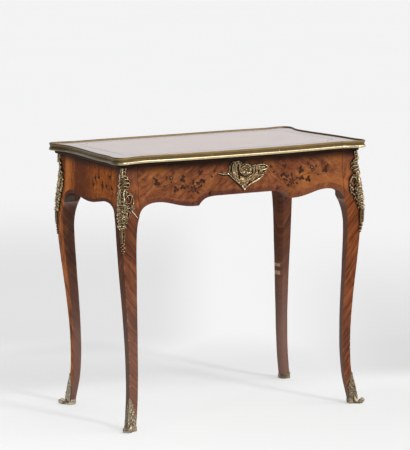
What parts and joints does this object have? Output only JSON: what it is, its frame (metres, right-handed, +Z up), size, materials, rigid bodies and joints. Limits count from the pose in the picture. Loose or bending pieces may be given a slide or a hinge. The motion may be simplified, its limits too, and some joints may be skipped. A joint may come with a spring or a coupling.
{
  "type": "writing table",
  "caption": "Serpentine writing table on cabriole legs, with a brass-rimmed veneered top, a frieze drawer with a lock, and bronze corner mounts and shoes.",
  "frame": {"origin": "on the floor, under the middle of the top", "axes": "+X to the table's right as seen from the front, +Y to the back, +Z up; the drawer opens towards -Y"},
  "size_m": [0.766, 0.472, 0.74],
  "materials": {
    "kingwood_veneer": "french polished, striped figure",
    "oak": "plain, aged",
    "rim_brass": "aged, half polished",
    "gilt_bronze": "cast, chased, worn gilding",
    "pin_brass": "dull",
    "lock_iron": "dark wrought iron",
    "dark_edge_wood": "stained dark",
    "top_veneer": "french polished, book matched",
    "top_banding": "french polished, cross grain"
  },
  "bodies": {
    "frame": {"back_apron": "kingwood_veneer", "chute_back_left": "gilt_bronze", "chute_back_right": "gilt_bronze", "chute_front_left": "gilt_bronze", "chute_front_right": "gilt_bronze", "chute_pins": "pin_brass", "drawer_guide_left": "oak", "drawer_guide_right": "oak", "drawer_kicker_left": "oak", "drawer_kicker_right": "oak", "drawer_runner_left": "oak", "drawer_runner_right": "oak", "drawer_stops": "oak", "front_top_rail": "oak", "glue_blocks": "oak", "leg_back_left": "kingwood_veneer", "leg_back_right": "kingwood_veneer", "leg_front_left": "kingwood_veneer", "leg_front_right": "kingwood_veneer", "lock_strike_plate": "lock_iron", "rim_back": "rim_brass", "rim_corner_back_left": "rim_brass", "rim_corner_back_right": "rim_brass", "rim_corner_front_left": "rim_brass", "rim_corner_front_right": "rim_brass", "rim_front": "rim_brass", "rim_left": "rim_brass", "rim_pins": "pin_brass", "rim_right": "rim_brass", "sabot_back_left": "gilt_bronze", "sabot_back_right": "gilt_bronze", "sabot_front_left": "gilt_bronze", "sabot_front_right": "gilt_bronze", "sabot_pins": "pin_brass", "side_apron_left": "kingwood_veneer", "side_apron_right": "kingwood_veneer", "top_board": "dark_edge_wood", "top_crossbanding": "top_banding", "top_screws": "lock_iron", "top_veneer_field": "top_veneer"},
    "drawer": {"drawer_front": "kingwood_veneer", "drawer_side_left": "oak", "drawer_side_right": "oak", "drawer_back": "oak", "drawer_bottom": "oak", "lock_case": "lock_iron", "lock_cover": "lock_iron", "lock_spring": "lock_iron", "lock_screws": "lock_iron", "keyhole_cartouche": "gilt_bronze", "cartouche_pins": "pin_brass"},
    "lock_bolt": {"lock_bolt": "lock_iron"}
  },
  "joints": [
    {"name": "drawer_slide", "type": "slide", "parent": "frame", "child": "drawer", "axis": [0, -1, 0], "range_m": [0, 0.26]},
    {"name": "lock_bolt_throw", "type": "slide", "parent": "drawer", "child": "lock_bolt", "axis": [0, 0, 1], "range_m": [0, 0.008]}
  ]
}
